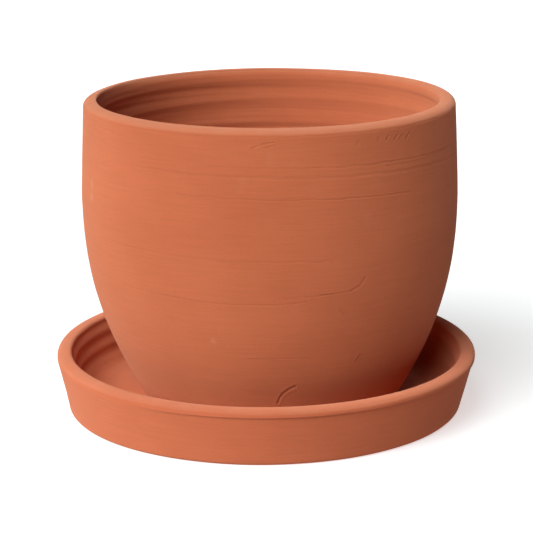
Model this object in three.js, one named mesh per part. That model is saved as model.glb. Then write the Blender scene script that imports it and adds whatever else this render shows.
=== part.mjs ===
// A terracotta flower pot standing in its round saucer.
//
// Both pieces are turned on a wheel, so each one is a profile revolved about its own upright axis.
// Millimetres, +Z up. The origin is the middle of the saucer's underside.

import * as THREE from 'three';

const FACETS = 72; // flat faces around each piece
const GAP = 0.3; // clearance between the pot's foot and the saucer's floor

// The saucer.
const SAUCER_HEIGHT = 34.5;
const SAUCER_BASE_RADIUS = 116.3; // where the wall's outside would meet the ground
const SAUCER_RIM_RADIUS = 124.2;
const SAUCER_WALL = 8.7; // measured level, from outside to inside
const SAUCER_FLOOR = 8.5;
const SAUCER_EDGE_ROUND = 2.8; // rounding of the edge it stands on
const SAUCER_FILLET = 9; // hollow between its floor and its wall
const BAND_HEIGHT = 3.8; // rolled band around the outside of the rim
const BAND_STEP = 0.9; // how far the band stands out from the wall below it

// The pot. Heights are above its own foot.
const POT_HEIGHT = 175.5;
const POT_FOOT_RADIUS = 76;
const POT_BELLY_RADIUS = 110;
const POT_BELLY_HEIGHT = 119;
const POT_BELLY_POWER = 2.2; // larger turns the wall upright lower down
const POT_RIM_RADIUS = 107.5;
const POT_CLOSING_POWER = 1.25; // larger keeps the wall upright further above the belly
const POT_RIM_WALL = 8;
const POT_FOOT_WALL = 12;
const POT_BASE = 11; // from the foot to the floor inside
const POT_BASE_FILLET = 16; // hollow between its floor and its wall
const POT_FOOT_ROUND = 2;
const FOOT_RING_WIDTH = 14; // the ring that the pot stands on
const RECESS_DEPTH = 2.5; // height of the underside inside that ring
const DRAIN_RADIUS = 10;
const POT_SHIFT = { x: 3.6, y: 2.6 }; // the pot stands a little off the saucer's middle

// Each rim turns down from its crest to an outer shoulder of some width and drop, and to a smaller
// rounding inside.
const POT_LIP = { shoulder: 6.8, drop: 3.8, inside: 1 };
const SAUCER_LIP = { shoulder: 5, drop: 3, inside: 2.5 };

const TERRACOTTA = { roughness: 0.92, metalness: 0 };
const POT_COLOUR = 0xc96f4e;
const SAUCER_COLOUR = 0xc46a49;

// Steps along the curved stretches of the profiles.
const ROUND_STEPS = 4;
const SHOULDER_STEPS = 6;
const LOWER_WALL_STEPS = 12;
const UPPER_WALL_STEPS = 4;

const point = (radius, height) => new THREE.Vector2(radius, height);

// Points on an arc, from one angle to another in degrees. Angle 0 points outwards and 90 points up.
// It is a quarter of an oval where its width and its height differ.
function arc(centreRadius, centreHeight, width, height, fromDegrees, toDegrees, steps) {
  return Array.from({ length: steps + 1 }, (_, i) => {
    const angle = THREE.MathUtils.degToRad(THREE.MathUtils.lerp(fromDegrees, toDegrees, i / steps));
    return point(centreRadius + width * Math.cos(angle), centreHeight + height * Math.sin(angle));
  });
}

// The rim of a wall, from its outside over the crest to its inside.
function lip(outerRadius, wallWidth, crestHeight, { shoulder, drop, inside }) {
  const innerCentre = outerRadius - wallWidth + inside;
  return [
    ...arc(outerRadius - shoulder, crestHeight - drop, shoulder, drop, 0, 90, SHOULDER_STEPS),
    ...arc(innerCentre, crestHeight - inside, inside, inside, 90, 180, ROUND_STEPS),
  ];
}

// A soft corner from one point to another, bent towards the corner between them.
function softCorner(from, corner, to) {
  return new THREE.QuadraticBezierCurve(from, corner, to).getPoints(ROUND_STEPS);
}

// Points of a wall given as radius by height, from one height to another.
function wall(radiusAt, fromHeight, toHeight, steps) {
  return Array.from({ length: steps + 1 }, (_, i) => {
    const height = THREE.MathUtils.lerp(fromHeight, toHeight, i / steps);
    return point(radiusAt(height), height);
  });
}

// Revolves a profile, given bottom to top on the outside and back down the inside, about +Z.
function turned(name, profile, colour) {
  const geometry = new THREE.LatheGeometry(profile, FACETS);
  geometry.rotateX(Math.PI / 2);
  const mesh = new THREE.Mesh(geometry, new THREE.MeshStandardMaterial({ color: colour, ...TERRACOTTA }));
  mesh.name = name;
  return mesh;
}

function saucer() {
  const bandFoot = SAUCER_HEIGHT - BAND_HEIGHT;
  const wallTop = bandFoot - BAND_STEP;
  const slope = (SAUCER_RIM_RADIUS - BAND_STEP - SAUCER_BASE_RADIUS) / wallTop;
  const lean = THREE.MathUtils.radToDeg(Math.atan(slope));
  const outside = (height) => SAUCER_BASE_RADIUS + slope * height;
  const inside = (height) => SAUCER_RIM_RADIUS - SAUCER_WALL - slope * (SAUCER_HEIGHT - height);
  const edgeCentre = outside(SAUCER_EDGE_ROUND) - SAUCER_EDGE_ROUND * Math.hypot(1, slope);
  const floorCorner = point(inside(SAUCER_FLOOR), SAUCER_FLOOR);
  const filletTop = SAUCER_FLOOR + SAUCER_FILLET;

  return turned('saucer', [
    point(0, 0),
    ...arc(edgeCentre, SAUCER_EDGE_ROUND, SAUCER_EDGE_ROUND, SAUCER_EDGE_ROUND, -90, -lean, ROUND_STEPS),
    point(outside(wallTop), wallTop),
    point(SAUCER_RIM_RADIUS, bandFoot),
    ...lip(SAUCER_RIM_RADIUS, SAUCER_WALL, SAUCER_HEIGHT, SAUCER_LIP),
    ...softCorner(point(inside(filletTop), filletTop), floorCorner,
      point(floorCorner.x - SAUCER_FILLET, SAUCER_FLOOR)),
    point(0, SAUCER_FLOOR),
  ], SAUCER_COLOUR);
}

// Radius of the pot's outside. The wall leaves the foot leaning outwards, turns upright at the belly
// and closes in a little towards the rim.
function potOutside(height) {
  if (height < POT_BELLY_HEIGHT) {
    const toBelly = 1 - height / POT_BELLY_HEIGHT;
    return POT_BELLY_RADIUS - (POT_BELLY_RADIUS - POT_FOOT_RADIUS) * toBelly ** POT_BELLY_POWER;
  }
  const pastBelly = (height - POT_BELLY_HEIGHT) / (POT_HEIGHT - POT_BELLY_HEIGHT);
  return POT_BELLY_RADIUS - (POT_BELLY_RADIUS - POT_RIM_RADIUS) * pastBelly ** POT_CLOSING_POWER;
}

// Radius of the pot's inside. The wall is thickest at the foot.
function potInside(height) {
  return potOutside(height) - THREE.MathUtils.lerp(POT_FOOT_WALL, POT_RIM_WALL, height / POT_HEIGHT);
}

function pot() {
  const shoulderHeight = POT_HEIGHT - POT_LIP.drop;
  const crestInside = POT_HEIGHT - POT_LIP.inside;
  const shoulderRadius = potOutside(shoulderHeight);
  const recessRadius = POT_FOOT_RADIUS - FOOT_RING_WIDTH;
  const floorCorner = point(potInside(POT_BASE), POT_BASE);
  const filletTop = POT_BASE + POT_BASE_FILLET;

  const mesh = turned('pot', [
    point(DRAIN_RADIUS, RECESS_DEPTH),
    point(recessRadius - RECESS_DEPTH, RECESS_DEPTH),
    point(recessRadius, 0),
    ...softCorner(point(POT_FOOT_RADIUS - POT_FOOT_ROUND, 0), point(POT_FOOT_RADIUS, 0),
      point(potOutside(POT_FOOT_ROUND), POT_FOOT_ROUND)),
    ...wall(potOutside, POT_FOOT_ROUND, POT_BELLY_HEIGHT, LOWER_WALL_STEPS).slice(1),
    ...wall(potOutside, POT_BELLY_HEIGHT, shoulderHeight, UPPER_WALL_STEPS).slice(1, -1),
    ...lip(shoulderRadius, shoulderRadius - potInside(crestInside), POT_HEIGHT, POT_LIP),
    ...wall(potInside, crestInside, POT_BELLY_HEIGHT, UPPER_WALL_STEPS).slice(1),
    ...wall(potInside, POT_BELLY_HEIGHT, filletTop, LOWER_WALL_STEPS).slice(1, -1),
    ...softCorner(point(potInside(filletTop), filletTop), floorCorner,
      point(floorCorner.x - POT_BASE_FILLET, POT_BASE)),
    point(DRAIN_RADIUS, POT_BASE),
    point(DRAIN_RADIUS, RECESS_DEPTH),
  ], POT_COLOUR);
  mesh.position.set(POT_SHIFT.x, POT_SHIFT.y, SAUCER_FLOOR + GAP);
  return mesh;
}

const pottedSet = new THREE.Group();
pottedSet.add(saucer(), pot());

export default pottedSet;
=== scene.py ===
"""A terracotta pot standing in its saucer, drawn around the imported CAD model.

Everything is in metres in the CAD model's own frame: +Z up, the viewer on the -Y side.
Both pieces are turned on a wheel, so each is a profile revolved about its own axis, then given
the small unevenness that hands and tools leave in clay. Azimuths are in degrees around a piece's
axis: 0 faces the viewer and 90 is to the right.
"""

import math

import bpy
import numpy as np
from mathutils import Matrix, Vector, noise


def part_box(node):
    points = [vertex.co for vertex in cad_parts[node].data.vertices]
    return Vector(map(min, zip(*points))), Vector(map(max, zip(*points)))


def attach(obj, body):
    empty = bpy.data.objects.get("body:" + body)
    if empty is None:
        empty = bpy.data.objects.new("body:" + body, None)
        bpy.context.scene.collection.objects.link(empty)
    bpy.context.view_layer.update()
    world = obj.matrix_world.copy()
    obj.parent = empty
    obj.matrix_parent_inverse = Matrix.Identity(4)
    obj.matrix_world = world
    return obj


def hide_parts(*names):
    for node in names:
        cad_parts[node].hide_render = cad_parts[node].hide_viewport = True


MM = 0.001

# Camera, as the photograph was taken.
CAMERA_DISTANCE = 1.2752  # in front of the saucer's middle
CAMERA_HEIGHT = 0.4188
CAMERA_TILT_DOWN = math.radians(14.755)
CAMERA_TURN_RIGHT = math.radians(0.04)
CAMERA_ROLL = math.radians(-0.35)
CAMERA_LENS_MM = 150.6
SENSOR_MM = 36.0

# Lamps: name, azimuth and elevation in degrees, strength, and spread in degrees.
LAMPS = [
    ("key", -30, 38, 1.62, 45),
    ("side", -58, 32, 0.84, 45),
    ("top", -48, 52, 1.15, 50),
    ("back", 150, 40, 0.35, 50),
]
LAMP_COLOUR = (0.94, 1.0, 1.0)
BOUNCE_STRENGTH = 0.46  # of the light that the floor sends up
BOUNCE_COLOUR = (1.0, 0.76, 0.66, 1.0)
WALL_STRENGTH = 0.3  # of a pale wall, low down all round
WALL_COLOUR = (1.0, 1.0, 1.0, 1.0)
WALL_FOOT = (-0.03, -0.02)  # the rise of the directions in which the floor's light turns into the wall's
WALL_TOP = (0.09, 0.12)  # the rise of the directions in which the wall turns dark
FLOOR_REACH = 8.0  # from the middle to each edge

# The saucer's shape.
SAUCER_BASE_RADIUS = 116.3 * MM  # where the wall's outside would meet the ground
SAUCER_WALL = 8.7 * MM
SAUCER_FLOOR = 8.5 * MM
SAUCER_EDGE_ROUND = 2.8 * MM
SAUCER_FILLET = 9 * MM
BAND_HEIGHT = 3.8 * MM  # rolled band around the outside of the rim
BAND_STEP = 0.9 * MM  # how far the band stands out from the wall below it

# The pot's shape. Heights are above its own foot.
POT_FOOT_RADIUS = 76 * MM
POT_BELLY_HEIGHT = 119 * MM
POT_BELLY_POWER = 2.2
POT_RIM_RADIUS = 107.5 * MM
POT_CLOSING_POWER = 1.25
POT_RIM_WALL = 8 * MM
POT_FOOT_WALL = 12 * MM
POT_BASE = 11 * MM
POT_BASE_FILLET = 16 * MM
POT_FOOT_ROUND = 2 * MM
FOOT_RING_WIDTH = 14 * MM
RECESS_DEPTH = 2.5 * MM
DRAIN_RADIUS = 10 * MM
DRAIN_ROUND = 1.2 * MM

# Each rim turns down from its crest to an outer shoulder of some width and drop, and to a smaller
# rounding inside.
POT_LIP = (6.8 * MM, 3.8 * MM, 1 * MM)
SAUCER_LIP = (5 * MM, 3 * MM, 2.5 * MM)

# Neither piece is quite true. The pot's rim leans back and to the left of its foot.
POT_LEAN = Vector((-0.9, 1.3, 0)) * MM
POT_RIM_TILT = 0.0076  # the rim is higher in front
WORN_WIDTH = 3.6 * MM  # of the slope worn on the rim's inner edge at the back
WORN_OUT = 0.45  # how far out the edge itself moves, as a share of that width
WORN_DOWN = 0.33
POT_RIGHT_FLARE = 0.9 * MM  # how much further out the rim stands on the right
SAUCER_SHIFT = Vector((-0.7, 0, 0)) * MM
SAUCER_LEAN = Vector((1.3, 0, 0)) * MM
SAUCER_LEFT = Vector((-0.94, 0.34, 0))  # the way to the raised left side
SAUCER_LEFT_RISE = 1.5 * MM  # how much higher the rim is there
SAUCER_BACK_RISE = 2.4 * MM

SEGMENTS = 320  # around each piece
RING_PITCH = 13 * MM  # climb of the pot's throwing rings in one turn
RING_START = 3 * MM  # height above the foot where a ring begins
INSIDE_SHOWN = 55 * MM  # below its rim the pot's inside is drawn finely this far down
SAUCER_RING_PITCH = 8.3 * MM
SAUCER_RING_HEIGHT = 24.5 * MM  # where the saucer's inside goes from a hollow up to a ridge
FILLED_FROM = 12 * MM  # above this height the saucer's wall comes out on the left to meet the band

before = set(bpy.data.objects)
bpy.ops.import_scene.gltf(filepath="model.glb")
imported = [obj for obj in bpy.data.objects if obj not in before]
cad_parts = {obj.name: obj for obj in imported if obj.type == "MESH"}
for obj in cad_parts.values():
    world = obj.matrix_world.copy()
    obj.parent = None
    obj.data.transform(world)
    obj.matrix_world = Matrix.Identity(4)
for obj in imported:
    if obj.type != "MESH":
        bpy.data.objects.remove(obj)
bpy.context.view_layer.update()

saucer_low, saucer_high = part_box("saucer")
pot_low, pot_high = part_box("pot")
SAUCER_HEIGHT = saucer_high.z - saucer_low.z
SAUCER_RIM_RADIUS = (saucer_high.x - saucer_low.x) / 2
SAUCER_MIDDLE = Vector((0, 0, 0))
POT_HEIGHT = pot_high.z - pot_low.z
POT_BELLY_RADIUS = (pot_high.x - pot_low.x) / 2
POT_FOOT = Vector(((pot_low.x + pot_high.x) / 2, (pot_low.y + pot_high.y) / 2, pot_low.z))

BAND_FOOT = SAUCER_HEIGHT - BAND_HEIGHT
POT_MOUTH_RADIUS = POT_RIM_RADIUS - POT_RIM_WALL


# ---------------------------------------------------------------- profiles

def arc(centre_radius, centre_height, width, height, start, end, count):
    """Points on an arc, angles in degrees: 0 points outwards and 90 points up."""
    angles = np.radians(np.linspace(start, end, count))
    return np.column_stack((centre_radius + width * np.cos(angles),
                            centre_height + height * np.sin(angles)))


def line(start, end, count):
    """Points on a straight line."""
    return np.linspace(start, end, count)


def soft_corner(start, corner, end, count):
    """Points on a curve from start to end, bent towards the corner between them."""
    t = np.linspace(0, 1, count)[:, None]
    return (1 - t) ** 2 * np.array(start) + 2 * t * (1 - t) * np.array(corner) + t ** 2 * np.array(end)


def lip(outer_radius, wall_width, crest_height, shape):
    """The rim of a wall, from its outside over the crest to its inside."""
    shoulder, drop, rounding = shape
    outside = arc(outer_radius - shoulder, crest_height - drop, shoulder, drop, 0, 90, 16)
    inner_centre = outer_radius - wall_width + rounding
    inside = arc(inner_centre, crest_height - rounding, rounding, rounding, 90, 180, 10)
    return joined(outside, line(outside[-1], inside[0], 3), inside)


def joined(*stretches):
    """The stretches as one outline, without the points that two of them share."""
    outline = [stretches[0]]
    for stretch in stretches[1:]:
        outline.append(stretch[1:] if np.allclose(outline[-1][-1], stretch[0], atol=1e-6) else stretch)
    return np.concatenate(outline)


def saucer_profile():
    """The saucer's outline as radius and height, from the middle of its underside up and over."""
    wall_top = BAND_FOOT - BAND_STEP
    slope = (SAUCER_RIM_RADIUS - BAND_STEP - SAUCER_BASE_RADIUS) / wall_top

    def outside(height):
        return SAUCER_BASE_RADIUS + slope * height

    def inside(height):
        return SAUCER_RIM_RADIUS - SAUCER_WALL - slope * (SAUCER_HEIGHT - height)

    edge_centre = outside(SAUCER_EDGE_ROUND) - SAUCER_EDGE_ROUND * math.hypot(1, slope)
    edge = arc(edge_centre, SAUCER_EDGE_ROUND, SAUCER_EDGE_ROUND, SAUCER_EDGE_ROUND,
               -90, -math.degrees(math.atan(slope)), 9)
    rim = lip(SAUCER_RIM_RADIUS, SAUCER_WALL, SAUCER_HEIGHT, SAUCER_LIP)
    step = soft_corner((outside(wall_top), wall_top), (SAUCER_RIM_RADIUS, wall_top),
                       (SAUCER_RIM_RADIUS, BAND_FOOT), 6)
    corner = (inside(SAUCER_FLOOR), SAUCER_FLOOR)
    fillet_top = SAUCER_FLOOR + SAUCER_FILLET
    fillet = soft_corner((inside(fillet_top), fillet_top), corner,
                         (corner[0] - SAUCER_FILLET, SAUCER_FLOOR), 14)
    return joined(
        line((0, 0), (edge_centre, 0), 30),
        edge,
        line(edge[-1], step[0], 22),
        step,
        rim,
        line(rim[-1], fillet[0], 20),
        fillet,
        line(fillet[-1], (0, SAUCER_FLOOR), 60),
    )


def pot_outside(height):
    """The pot's outer radius: leaning out from the foot, upright at the belly, closing in to the rim."""
    to_belly = np.clip(1 - height / POT_BELLY_HEIGHT, 0, None)
    past_belly = np.clip((height - POT_BELLY_HEIGHT) / (POT_HEIGHT - POT_BELLY_HEIGHT), 0, None)
    return (POT_BELLY_RADIUS - (POT_BELLY_RADIUS - POT_FOOT_RADIUS) * to_belly ** POT_BELLY_POWER
            - (POT_BELLY_RADIUS - POT_RIM_RADIUS) * past_belly ** POT_CLOSING_POWER)


def pot_inside(height):
    """The pot's inner radius. The wall is thickest at the foot."""
    return pot_outside(height) - POT_FOOT_WALL + (POT_FOOT_WALL - POT_RIM_WALL) * height / POT_HEIGHT


def pot_profile():
    """The pot's outline as radius and height above its foot: a loop that starts in the drain hole."""
    shoulder_height = POT_HEIGHT - POT_LIP[1]
    crest_inside = POT_HEIGHT - POT_LIP[2]
    shoulder_radius = pot_outside(shoulder_height)
    recess_radius = POT_FOOT_RADIUS - FOOT_RING_WIDTH
    foot = soft_corner((POT_FOOT_RADIUS - POT_FOOT_ROUND, 0), (POT_FOOT_RADIUS, 0),
                       (pot_outside(POT_FOOT_ROUND), POT_FOOT_ROUND), 5)
    outer = np.linspace(POT_FOOT_ROUND, shoulder_height, 122)
    fillet_top = POT_BASE + POT_BASE_FILLET
    fine_end = POT_HEIGHT - INSIDE_SHOWN
    inner = np.append(np.linspace(crest_inside, fine_end, 71), np.linspace(fine_end, fillet_top, 30)[1:])
    corner = (pot_inside(POT_BASE), POT_BASE)
    fillet = soft_corner((pot_inside(fillet_top), fillet_top), corner,
                         (corner[0] - POT_BASE_FILLET, POT_BASE), 12)
    drain_top = soft_corner((DRAIN_RADIUS + DRAIN_ROUND, POT_BASE), (DRAIN_RADIUS, POT_BASE),
                            (DRAIN_RADIUS, POT_BASE - DRAIN_ROUND), 4)
    return joined(
        line((DRAIN_RADIUS, RECESS_DEPTH), (recess_radius - RECESS_DEPTH, RECESS_DEPTH), 10),
        line((recess_radius - RECESS_DEPTH, RECESS_DEPTH), (recess_radius, 0), 3),
        line((recess_radius, 0), foot[0], 4),
        foot,
        np.column_stack((pot_outside(outer), outer)),
        lip(shoulder_radius, shoulder_radius - pot_inside(crest_inside), POT_HEIGHT, POT_LIP),
        np.column_stack((pot_inside(inner), inner)),
        fillet,
        line(fillet[-1], drain_top[0], 24),
        drain_top,
        line(drain_top[-1], (DRAIN_RADIUS, RECESS_DEPTH), 4)[:-1],
    )


# ---------------------------------------------------------------- hand-made unevenness

def profile_normals(outline, closed):
    """Unit normals of an outline that runs up its outside and back down its inside."""
    if closed:
        along = np.roll(outline, -1, axis=0) - np.roll(outline, 1, axis=0)
    else:
        along = np.gradient(outline, axis=0)
    normals = np.column_stack((along[:, 1], -along[:, 0]))
    return normals / np.linalg.norm(normals, axis=1)[:, None]


def share(value, low, high):
    """How far value has come from low to high, from 0 to 1."""
    return max(0.0, min(1.0, (value - low) / (high - low)))


def bands(angle, height, waves, pitch, offset):
    """Noise that changes quickly with height and slowly around the piece, as turning marks do."""
    place = Vector((math.cos(angle) * waves, math.sin(angle) * waves, height / pitch))
    return noise.noise(place + offset)


def lumps(angle, radius, height, size):
    """Noise in lumps of a given size."""
    place = Vector((radius * math.cos(angle), radius * math.sin(angle), height))
    return noise.noise(place / size)


def throwing_rings(angle, along, offset):
    """The spiral ridges that fingers leave in a wall, by distance along it, from about -1 to 1."""
    wander = 0.12 * bands(angle, along, 0.8, 20 * MM, offset)
    turns = along / RING_PITCH + wander + angle / (2 * math.pi)
    hollow = math.sin(2 * math.pi * turns)
    crest = 1 - 2 * abs(math.sin(math.pi * (turns - 0.25)))
    return 0.4 * hollow + 0.4 * crest + 0.7 * bands(angle, along, 0.9, 2.6 * MM, offset)


def pot_relief(angle, radius, height, normal):
    """How far the pot's clay stands proud of its true profile."""
    offset = Vector((11.4, 2.9, 5.2))
    proud = 0.16 * MM * lumps(angle, radius, height, 0.04)
    outward = share(normal[0], 0, 0.4)
    inward = share(-normal[0], 0, 0.4)
    upward = share(normal[1], 0, 0.6) * share(POT_HEIGHT - height, 20 * MM, 30 * MM)
    flare = share(math.sin(angle), 0.2, 1) * share(height, 0.6 * POT_HEIGHT, POT_HEIGHT)
    proud += outward * 0.09 * MM * bands(angle, height, 0.9, 12 * MM, offset)
    proud += outward * 0.03 * MM * bands(angle, height, 1.6, 3.2 * MM, offset)
    proud += outward * POT_RIGHT_FLARE * flare
    proud += inward * 0.55 * MM * throwing_rings(angle, height - RING_START, offset)
    proud += upward * 0.35 * MM * throwing_rings(angle, radius, offset)
    return proud


def step_kept(angle):
    """How much of the step under the band is there: all of it on the right, and none on the left."""
    return share(math.sin(angle + math.radians(18)), -0.35, 0.35)


def saucer_relief(angle, radius, height, normal):
    """How far the saucer's clay stands proud of its true profile."""
    offset = Vector((3.1, 7.7, 1.3))
    proud = 0.14 * MM * lumps(angle, radius, height, 0.035)
    outward = share(normal[0], 0, 0.4)
    proud += outward * 0.08 * MM * bands(angle, height, 0.9, 8 * MM, offset)
    inside_wall = share(-normal[0], 0.2, 0.7) * share(SAUCER_HEIGHT - height, 0, 3 * MM)
    rings = (height - SAUCER_RING_HEIGHT) / SAUCER_RING_PITCH
    proud += inside_wall * 0.5 * MM * math.sin(2 * math.pi * rings + 0.4 * math.sin(angle))
    on_floor = share(normal[1], 0.5, 0.9) * share(SAUCER_RIM_RADIUS - radius, SAUCER_WALL, 2 * SAUCER_WALL)
    sunk = 1  # keeps the ridges below the foot of the pot
    proud += on_floor * 0.3 * MM * (throwing_rings(angle, radius, offset) - sunk)
    return proud


def worn_edge(place):
    """How a point moves because the inner edge of the pot's rim is worn to a slope at the back."""
    outward = Vector((place.x, place.y, 0)).normalized()
    from_edge = math.hypot(place.xy.length - POT_MOUTH_RADIUS, place.z - POT_HEIGHT)
    worn = share(outward.y, 0, 0.8) * share(from_edge, WORN_WIDTH, 0)
    return worn * WORN_WIDTH * (WORN_OUT * outward - Vector((0, 0, WORN_DOWN)))


def pot_warp(place):
    """Where a point of the pot ends up, measured from the middle of its foot."""
    up = place.z / POT_HEIGHT
    return place + worn_edge(place) + POT_LEAN * up - Vector((0, 0, POT_RIM_TILT * place.y * up))


def filled_step(place):
    """How a point of the saucer's wall moves because it comes out on the left to meet the band."""
    radius = place.xy.length
    if radius < SAUCER_BASE_RADIUS or place.z > BAND_FOOT:
        return Vector((0, 0, 0))
    near_band = share(place.z, FILLED_FROM, BAND_FOOT - BAND_STEP)
    filled = near_band * (1 - step_kept(math.atan2(place.x, -place.y)))
    missing = max(0.0, min(BAND_STEP, SAUCER_RIM_RADIUS - radius))
    return Vector((place.x, place.y, 0)) / radius * filled * missing


def saucer_warp(place):
    """Where a point of the saucer ends up, measured from the middle of its underside."""
    place = place + filled_step(place)
    up = place.z / SAUCER_HEIGHT
    out = place.xy.length / SAUCER_RIM_RADIUS
    left = max(0.0, SAUCER_LEFT.dot(place)) / SAUCER_RIM_RADIUS
    back = max(0.0, place.y) / SAUCER_RIM_RADIUS
    rise = SAUCER_LEFT_RISE * left ** 2 + SAUCER_BACK_RISE * back
    return place + SAUCER_SHIFT + SAUCER_LEAN * up + Vector((0, 0, rise * up * out ** 4))


def turned_piece(name, outline, centre, relief, warp):
    """A mesh of the outline revolved about the upright axis through centre, with its relief and warp."""
    closed = outline[0][0] > 0
    normals = profile_normals(outline, closed)
    rings = range(len(outline)) if closed else range(1, len(outline) - 1)
    points = []
    for i in rings:
        radius, height = outline[i]
        for j in range(SEGMENTS):
            angle = 2 * math.pi * j / SEGMENTS
            proud = relief(angle, radius, height, normals[i])
            out = radius + proud * normals[i][0]
            up = height + proud * normals[i][1]
            points.append(centre + warp(Vector((out * math.sin(angle), -out * math.cos(angle), up))))
    count = len(rings)
    faces = []
    for i in range(count if closed else count - 1):
        here, above = i * SEGMENTS, (i + 1) % count * SEGMENTS
        for j in range(SEGMENTS):
            k = (j + 1) % SEGMENTS
            faces.append((here + j, here + k, above + k, above + j))
    if not closed:
        bottom, middle = len(points), len(points) + 1
        points += [centre + warp(Vector((0, 0, outline[end][1]))) for end in (0, -1)]
        last = (count - 1) * SEGMENTS
        for j in range(SEGMENTS):
            k = (j + 1) % SEGMENTS
            faces.append((bottom, k, j))
            faces.append((middle, last + j, last + k))
    mesh = bpy.data.meshes.new(name)
    mesh.from_pydata(points, [], faces)
    mesh.shade_smooth()
    piece = bpy.data.objects.new(name, mesh)
    bpy.context.scene.collection.objects.link(piece)
    return piece


# ---------------------------------------------------------------- node helpers

def add(tree, kind, inputs=None, **settings):
    """A new node. inputs gives sockets by name or number, each a value or another node's output."""
    made = tree.nodes.new(kind)
    for name, value in settings.items():
        setattr(made, name, value)
    for key, value in (inputs or {}).items():
        if isinstance(value, bpy.types.NodeSocket):
            tree.links.new(value, made.inputs[key])
        else:
            made.inputs[key].default_value = value
    return made


def maths(tree, operation, first, second=0.0):
    """One sum on numbers."""
    return add(tree, "ShaderNodeMath", {0: first, 1: second}, operation=operation).outputs[0]


def vectors(tree, operation, first, second=(0, 0, 0), result=0):
    """One sum on vectors. result 1 asks for the number that some of them give."""
    return add(tree, "ShaderNodeVectorMath", {0: first, 1: second}, operation=operation).outputs[result]


def scaled(tree, vector, factor):
    """A vector or colour times a number."""
    return add(tree, "ShaderNodeVectorMath", {0: vector, "Scale": factor}, operation="SCALE").outputs[0]


def clay_noise(tree, place, stretch, detail, roughness=0.55):
    """Noise from 0 to 1 with its own scale along each axis, in features per metre."""
    stretched = vectors(tree, "MULTIPLY", place, stretch)
    return add(tree, "ShaderNodeTexNoise", {"Vector": stretched, "Scale": 1.0, "Detail": detail,
                                            "Roughness": roughness}).outputs["Fac"]


def remap(tree, value, low, high, to_low=0.0, to_high=1.0):
    """value stretched from one range to another, and kept inside it."""
    return add(tree, "ShaderNodeMapRange", {0: value, 1: low, 2: high, 3: to_low, 4: to_high}).outputs[0]


def soft_remap(tree, value, low, high, to_low, to_high):
    """The same with a gentle start and end."""
    return add(tree, "ShaderNodeMapRange", {0: value, 1: low, 2: high, 3: to_low, 4: to_high},
               interpolation_type="SMOOTHSTEP").outputs[0]


def mix(tree, amount, first, second):
    """first and second mixed as colours."""
    made = add(tree, "ShaderNodeMix", data_type="RGBA")
    for socket, value in (("Factor_Float", amount), ("A_Color", first), ("B_Color", second)):
        target = next(s for s in made.inputs if s.identifier == socket)
        if isinstance(value, bpy.types.NodeSocket):
            tree.links.new(value, target)
        else:
            target.default_value = value
    return next(s for s in made.outputs if s.identifier == "Result_Color")


# ---------------------------------------------------------------- marks in the clay

# Grooves on the pot's outside: depth and width in mm, then azimuths and heights above the foot in mm.
GROOVES = [
    (0.12, 2.0, [(-50, 172.6), (0, 173), (60, 172.6)]),  # along the foot of the rim
    (0.12, 3.0, [(-45, 152), (-5, 151), (28, 149.5), (78, 146)]),  # plainest turning line
    (0.10, 4.0, [(36, 152.5), (58, 152), (80, 155)]),
    (0.10, 2.2, [(-20, 156.5), (40, 154.5), (72, 153)]),
    (0.12, 1.8, [(-28, 140), (14, 138), (45, 136)]),
    (0.08, 2.2, [(-60, 106), (-30, 105), (17, 103.7)]),
    (0.10, 2.0, [(-52, 81), (-38, 81.5), (-24, 79.8), (0, 79.3), (10, 80.6)]),  # wavy drag line
    (0.12, 1.6, [(-8, 46.3), (12, 46)]),
    (0.07, 1.8, [(3, 83), (14, 84), (24, 84.8)]),
    (0.20, 1.8, [(14.5, 84.1), (18.6, 84.4)]),  # short cut in the drag line
    (0.15, 3.0, [(24, 84.8), (27, 87.5), (28.6, 92)]),  # curl at its end
    (0.16, 2.4, [(-5.6, 166.6), (-3.6, 168.2)]),  # chafed spot under the rim
    (0.20, 2.0, [(-2.8, 168.6), (0.6, 169.8)]),
    (0.12, 2.6, [(-1.6, 167), (1, 168)]),
    (0.24, 2.2, [(20.8, 74), (22.4, 71.4)]),
    (0.30, 2.6, [(29.4, 40.5), (30.4, 43.5)]),
    (0.32, 3.2, [(2.2, 16.5), (2.8, 20), (4.0, 23.2), (5.8, 25.8), (8.2, 27.6)]),  # crescent near the foot
    (0.12, 2.4, [(8.4, 26.5), (9, 24)]),
    (0.14, 2.4, [(26, 166), (26.4, 167.6)]),  # nicks under the rim
    (0.12, 2.6, [(33, 167.5), (33.6, 168.6)]),
    (0.16, 2.4, [(36.2, 167), (37, 168.8)]),
    (0.20, 2.2, [(39.2, 166.2), (40.6, 169.2)]),
    (0.16, 2.2, [(41.4, 166.8), (42.6, 168.6)]),
    (0.22, 2.4, [(44, 166), (45.6, 169)]),
]
BURR = 0.25  # height of the clay beside a groove, as a share of its depth

# Patches of pale dust on the pot's outside: azimuth, height above the foot in mm, size in mm, strength.
DUST = [
    (-68, 134, 4, 0.45),
    (-68, 126, 3.5, 0.45),
    (-8, 149, 4, 0.25),
    (-9, 144.5, 3.5, 0.2),
    (0, 160, 5, 0.15),
    (-18.5, 56.5, 2.6, 0.45),
    (-14, 53.5, 2.2, 0.25),
    (29, 127, 4, 0.12),
]


def unrolled(tree, place, centre):
    """A turned surface laid out flat: distance around it at the belly's radius, then height."""
    from_axis = add(tree, "ShaderNodeSeparateXYZ", {0: vectors(tree, "SUBTRACT", place, centre)}).outputs
    azimuth = maths(tree, "ARCTAN2", from_axis["X"], maths(tree, "MULTIPLY", from_axis["Y"], -1.0))
    around = maths(tree, "MULTIPLY", azimuth, POT_BELLY_RADIUS)
    return add(tree, "ShaderNodeCombineXYZ", {"X": around, "Y": from_axis["Z"]}).outputs[0]


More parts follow.
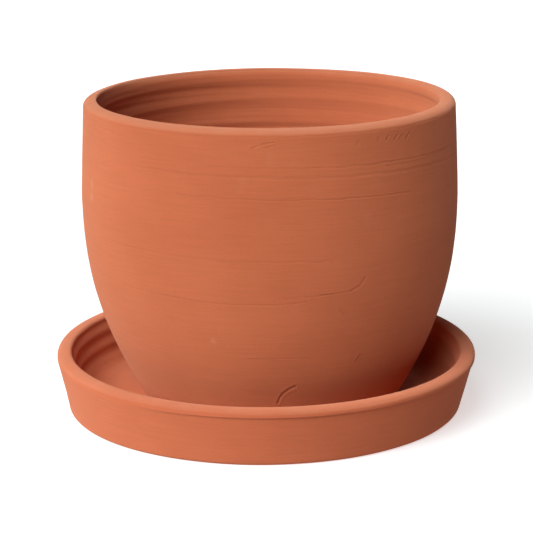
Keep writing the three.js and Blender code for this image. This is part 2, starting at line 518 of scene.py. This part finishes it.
def flat_spot(azimuth, height_mm):
    """Where an azimuth and a height lie on the unrolled surface."""
    return Vector((math.radians(azimuth) * POT_BELLY_RADIUS, height_mm * MM, 0))


def facing_out(tree, coordinates, centre):
    """1 on the outside of a turned piece and 0 on the inside."""
    from_axis = vectors(tree, "SUBTRACT", coordinates["Object"], centre)
    level = vectors(tree, "MULTIPLY", from_axis, (1, 1, 0))
    return remap(tree, vectors(tree, "DOT_PRODUCT", level, coordinates["Normal"], 1), 0.0, 20 * MM)


def distance_to_stroke(tree, spot, ends):
    """Distance on the unrolled surface to a chain of straight stretches."""
    nearest = None
    for start, end in zip(ends, ends[1:]):
        along = end - start
        offset = vectors(tree, "SUBTRACT", spot, start)
        part = vectors(tree, "DOT_PRODUCT", offset, along / along.length_squared, 1)
        part = add(tree, "ShaderNodeClamp", {0: part}).outputs[0]
        distance = vectors(tree, "DISTANCE", offset, scaled(tree, along, part), 1)
        nearest = distance if nearest is None else maths(tree, "MINIMUM", nearest, distance)
    return nearest


def groove_depth(tree, spot):
    """Depth in mm of all the grooves in the pot's outside, less the clay pushed up beside them."""
    total = None
    for depth, width, ends in GROOVES:
        distance = distance_to_stroke(tree, spot, [flat_spot(*end) for end in ends])
        burr = BURR * depth
        groove = soft_remap(tree, distance, 0.0, width * MM / 2, depth + burr, 0.0)
        pushed_up = soft_remap(tree, distance, width * MM / 2, width * MM, burr, 0.0)
        total = groove if total is None else maths(tree, "ADD", total, groove)
        total = maths(tree, "SUBTRACT", total, pushed_up)
    return total


def dusty(tree, spot):
    """Strength of the pale dust patches on the pot's outside."""
    total = None
    for azimuth, height, size, strength in DUST:
        distance = vectors(tree, "DISTANCE", spot, flat_spot(azimuth, height), 1)
        patch = remap(tree, distance, 0.0, size * MM, strength, 0.0)
        total = patch if total is None else maths(tree, "MAXIMUM", total, patch)
    return total


# ---------------------------------------------------------------- fired clay

PALE_CLAY = (0.76, 0.35, 0.21, 1.0)
SPECK_COLOUR = (0.2, 0.05, 0.025, 1.0)
SAUCER_CLAY = (0.74, 0.202, 0.087, 1.0)
SAUCER_RUDDY = (0.68, 0.173, 0.073, 1.0)
POT_CLAY = (0.69, 0.194, 0.081, 1.0)
POT_RUDDY = (0.63, 0.165, 0.067, 1.0)


def rubbed_and_lit_rim(tree, place, centre, rim_height, rim_upward, bloom):
    """How far the top of a rim is made pale: partly rubbed wear, partly a painted highlight where the
    light falls on the top. rim_upward is square to the plane of the rim.
    """
    height = vectors(tree, "DOT_PRODUCT", vectors(tree, "SUBTRACT", place, centre), rim_upward, 1)
    # Painted highlight mixed with rubbed wear: the top of the rim, which faces the light from above, is
    # made paler.
    rubbed_and_lit = remap(tree, height, rim_height - 2.8 * MM, rim_height - 1.8 * MM, 0.0, 0.28)
    return maths(tree, "MULTIPLY", rubbed_and_lit, remap(tree, bloom, 0.35, 0.6, 0.6, 1.0))


def wobbly(tree, spot, place):
    """The unrolled surface, stirred up and down a little so that marks aren't dead straight."""
    wobble = remap(tree, clay_noise(tree, place, (110, 110, 110), 2), 0.3, 0.7, -0.4 * MM, 0.4 * MM)
    return vectors(tree, "ADD", spot, scaled(tree, (0, 1, 0), wobble))


def terracotta(name, centre, rim_height, rim_upward, clay, ruddy, marked):
    """Unglazed fired clay: clouds, streaks, grain, specks and a rim made pale by rubbing and a painted
    highlight, with marks if marked, whose grooves are darkened with painted shade.
    """
    material = bpy.data.materials.new(name)
    material.use_nodes = True
    tree = material.node_tree
    shader = tree.nodes["Principled BSDF"]
    coordinates = add(tree, "ShaderNodeTexCoord").outputs
    place = coordinates["Object"]

    clouds = clay_noise(tree, place, (24, 24, 30), 3)
    streaks = clay_noise(tree, place, (7, 7, 420), 6, 0.65)
    scrapes = clay_noise(tree, place, (40, 40, 1000), 3)
    grain = clay_noise(tree, place, (900, 900, 900), 4, 0.7)
    bloom = clay_noise(tree, place, (60, 60, 75), 5, 0.65)
    specks = clay_noise(tree, place, (800, 800, 800), 1)

    colour = mix(tree, remap(tree, clouds, 0.3, 0.7, 0, 0.7), clay, ruddy)
    colour = mix(tree, remap(tree, streaks, 0.42, 0.7, 0, 0.2), colour, ruddy)
    colour = mix(tree, remap(tree, bloom, 0.58, 0.8, 0, 0.07), colour, PALE_CLAY)
    colour = mix(tree, remap(tree, specks, 0.77, 0.85, 0, 0.35), colour, SPECK_COLOUR)
    # Painted highlight and wear: the top of each rim is made paler, partly as rubbing, partly as the light
    # that falls on it.
    colour = mix(tree, rubbed_and_lit_rim(tree, place, centre, rim_height, rim_upward, bloom), colour, PALE_CLAY)
    relief = maths(tree, "MULTIPLY", grain, 0.05)
    relief = maths(tree, "ADD", relief, maths(tree, "MULTIPLY", streaks, 0.1))
    relief = maths(tree, "ADD", relief, maths(tree, "MULTIPLY", scrapes, 0.1))
    # Grain and scrapes vary the clay's own tone; on the pot this factor is then lowered in the grooves as
    # painted shade.
    tone_and_groove_shade = remap(tree, maths(tree, "ADD", grain, scrapes), 0.6, 1.4, 0.94, 1.06)

    if marked:
        spot = wobbly(tree, unrolled(tree, place, centre), place)
        outside = facing_out(tree, coordinates, centre)
        depth = maths(tree, "MULTIPLY", groove_depth(tree, spot), outside)
        dust = maths(tree, "MULTIPLY", dusty(tree, spot), outside)
        colour = mix(tree, maths(tree, "MULTIPLY", dust, remap(tree, bloom, 0.35, 0.6)), colour, PALE_CLAY)
        # Painted shade: the colour is darker down in the grooves, where shade falls.
        tone_and_groove_shade = maths(tree, "MULTIPLY", tone_and_groove_shade, remap(tree, depth, 0.0, 0.4, 1.0, 0.9))
        relief = maths(tree, "SUBTRACT", relief, depth)

    tree.links.new(scaled(tree, colour, tone_and_groove_shade), shader.inputs["Base Color"])
    tree.links.new(remap(tree, grain, 0.2, 0.8, 0.84, 0.96), shader.inputs["Roughness"])
    bump = add(tree, "ShaderNodeBump", {"Height": relief, "Strength": 1.0, "Distance": MM})
    tree.links.new(bump.outputs[0], shader.inputs["Normal"])

    shader.inputs["Metallic"].default_value = 0.0
    shader.inputs["Diffuse Roughness"].default_value = 0.8
    shader.inputs["Specular IOR Level"].default_value = 0.3
    shader.inputs["Sheen Weight"].default_value = 0.12
    shader.inputs["Sheen Roughness"].default_value = 0.6
    shader.inputs["Sheen Tint"].default_value = (1.0, 0.85, 0.75, 1.0)
    return material


def finish_piece(piece, body, material):
    """Gives a piece its material, and a body that it rides on and stands for."""
    piece.data.materials.append(material)
    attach(piece, body)
    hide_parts(body)


# ---------------------------------------------------------------- floor, light and camera

def make_floor():
    """A wide, plain, pale floor."""
    mesh = bpy.data.meshes.new("floor")
    corners = [(FLOOR_REACH * x, FLOOR_REACH * y, 0) for x, y in ((-1, -1), (1, -1), (1, 1), (-1, 1))]
    mesh.from_pydata(corners, [], [(0, 1, 2, 3)])
    floor = bpy.data.objects.new("floor", mesh)
    bpy.context.scene.collection.objects.link(floor)
    material = bpy.data.materials.new("pale_floor")
    material.use_nodes = True
    shader = material.node_tree.nodes["Principled BSDF"]
    shader.inputs["Base Color"].default_value = (0.8, 0.8, 0.8, 1.0)
    shader.inputs["Emission Color"].default_value = (1.0, 1.0, 1.0, 1.0)
    shader.inputs["Emission Strength"].default_value = 0.55
    shader.inputs["Roughness"].default_value = 0.9
    shader.inputs["Specular IOR Level"].default_value = 0.1
    mesh.materials.append(material)
    floor.visible_diffuse = False
    floor.visible_glossy = False
    floor.visible_shadow = False


def make_sun(name, azimuth, elevation, strength, spread):
    """A broad soft light from far off."""
    data = bpy.data.lights.new(name, "SUN")
    data.energy = strength
    data.color = LAMP_COLOUR
    data.angle = math.radians(spread)
    lamp = bpy.data.objects.new(name, data)
    bpy.context.scene.collection.objects.link(lamp)
    a, e = math.radians(azimuth), math.radians(elevation)
    towards = Vector((math.sin(a) * math.cos(e), -math.cos(a) * math.cos(e), math.sin(e)))
    lamp.rotation_mode = "QUATERNION"
    lamp.rotation_quaternion = towards.to_track_quat("Z", "Y")


def make_world():
    """The light that the floor sends up, a pale wall low down all round, and darkness above."""
    world = bpy.data.worlds.new("studio")
    world.use_nodes = True
    tree = world.node_tree
    background = tree.nodes["Background"]
    direction = add(tree, "ShaderNodeTexCoord").outputs["Generated"]
    height = add(tree, "ShaderNodeSeparateXYZ", {0: direction}).outputs["Z"]
    low_down = remap(tree, height, *WALL_FOOT, BOUNCE_STRENGTH, WALL_STRENGTH)
    tree.links.new(remap(tree, height, *WALL_TOP, low_down, 0.0), background.inputs["Strength"])
    colour = mix(tree, remap(tree, height, *WALL_FOOT), BOUNCE_COLOUR, WALL_COLOUR)
    tree.links.new(colour, background.inputs["Color"])
    bpy.context.scene.world = world


def make_camera():
    """The camera, in front of the object and looking down on it."""
    data = bpy.data.cameras.new("camera")
    data.lens = CAMERA_LENS_MM
    data.sensor_width = SENSOR_MM
    camera = bpy.data.objects.new("camera", data)
    bpy.context.scene.collection.objects.link(camera)
    turn = Matrix.Rotation(-CAMERA_TURN_RIGHT, 4, "Z")
    tilt = Matrix.Rotation(math.pi / 2 - CAMERA_TILT_DOWN, 4, "X")
    roll = Matrix.Rotation(CAMERA_ROLL, 4, "Z")
    camera.matrix_world = Matrix.Translation((0, -CAMERA_DISTANCE, CAMERA_HEIGHT)) @ turn @ tilt @ roll
    bpy.context.scene.camera = camera


def main():
    saucer = turned_piece("saucer_clay", saucer_profile(), SAUCER_MIDDLE, saucer_relief, saucer_warp)
    pot = turned_piece("pot_clay", pot_profile(), POT_FOOT, pot_relief, pot_warp)
    finish_piece(saucer, "saucer",
                 terracotta("saucer_terracotta", SAUCER_MIDDLE, SAUCER_HEIGHT, Vector((0, 0, 1)),
                            SAUCER_CLAY, SAUCER_RUDDY, marked=False))
    finish_piece(pot, "pot",
                 terracotta("pot_terracotta", POT_FOOT, POT_HEIGHT, Vector((0, POT_RIM_TILT, 1)),
                            POT_CLAY, POT_RUDDY, marked=True))
    make_floor()
    for lamp in LAMPS:
        make_sun(*lamp)
    make_world()
    make_camera()
    bpy.context.scene.view_settings.view_transform = "Standard"


main()
